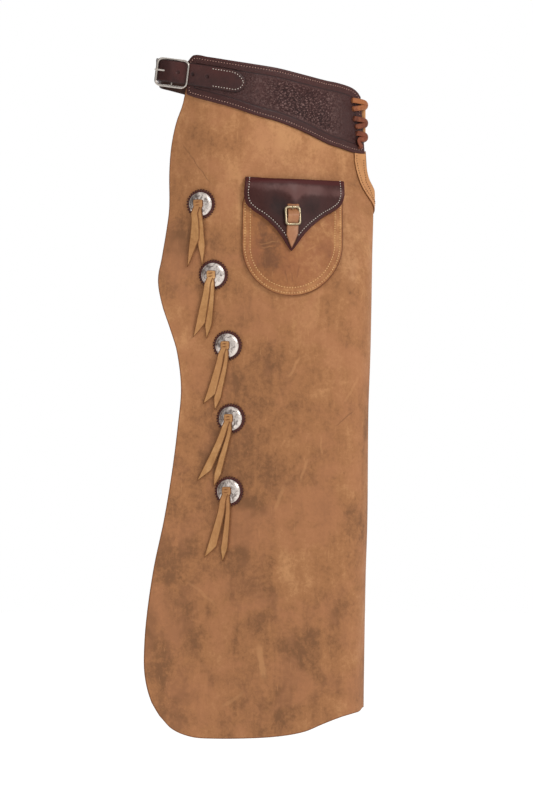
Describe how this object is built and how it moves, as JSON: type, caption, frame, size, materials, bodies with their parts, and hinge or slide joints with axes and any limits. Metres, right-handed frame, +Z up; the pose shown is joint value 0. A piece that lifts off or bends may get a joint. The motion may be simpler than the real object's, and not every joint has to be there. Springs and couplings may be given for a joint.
{
  "type": "batwing chaps",
  "caption": "Pair of leather batwing chaps with a laced yoke, buckled belt, flapped thigh pockets and a row of conchos with ties on each leg.",
  "frame": {"origin": "centre of the waist loop, midway between the yokes, at the height where a belt would sit", "axes": "+Z up, +X forward to the laced front, +Y towards the wearer's left"},
  "size_m": [0.3367, 0.2394, 0.9973],
  "materials": {
    "tan_leather": "waxed, mottled",
    "pale_leather": "smooth, unwaxed",
    "tie_leather": "soft, matt",
    "dark_leather": "pebbled, satin",
    "dark_smooth_leather": "smooth, satin",
    "lace_leather": "smooth",
    "silver": "engraved, tarnished in the cuts",
    "steel": "polished",
    "antique_brass": "worn"
  },
  "bodies": {
    "root": {"right_leg_panel": "tan_leather", "right_yoke": "dark_leather", "right_crotch_binding": "pale_leather", "right_pocket_pouch": "tan_leather", "right_pocket_flap": "dark_smooth_leather", "right_pocket_strap": "pale_leather", "right_pocket_buckle": "antique_brass", "right_rosette_1": "dark_smooth_leather", "right_concho_1": "silver", "right_tie_1": "tie_leather", "right_rosette_2": "dark_smooth_leather", "right_concho_2": "silver", "right_tie_2": "tie_leather", "right_rosette_3": "dark_smooth_leather", "right_concho_3": "silver", "right_tie_3": "tie_leather", "right_rosette_4": "dark_smooth_leather", "right_concho_4": "silver", "right_tie_4": "tie_leather", "right_rosette_5": "dark_smooth_leather", "right_concho_5": "silver", "right_tie_5": "tie_leather", "left_leg_panel": "tan_leather", "left_yoke": "dark_leather", "left_crotch_binding": "pale_leather", "left_pocket_pouch": "tan_leather", "left_pocket_flap": "dark_smooth_leather", "left_pocket_strap": "pale_leather", "left_pocket_buckle": "antique_brass", "left_rosette_1": "dark_smooth_leather", "left_concho_1": "silver", "left_tie_1": "tie_leather", "left_rosette_2": "dark_smooth_leather", "left_concho_2": "silver", "left_tie_2": "tie_leather", "left_rosette_3": "dark_smooth_leather", "left_concho_3": "silver", "left_tie_3": "tie_leather", "left_rosette_4": "dark_smooth_leather", "left_concho_4": "silver", "left_tie_4": "tie_leather", "left_rosette_5": "dark_smooth_leather", "left_concho_5": "silver", "left_tie_5": "tie_leather", "belt_billet": "dark_smooth_leather", "belt_chape": "dark_smooth_leather", "belt_buckle": "steel", "belt_prong": "steel", "front_lace": "lace_leather"}
  },
  "joints": []
}
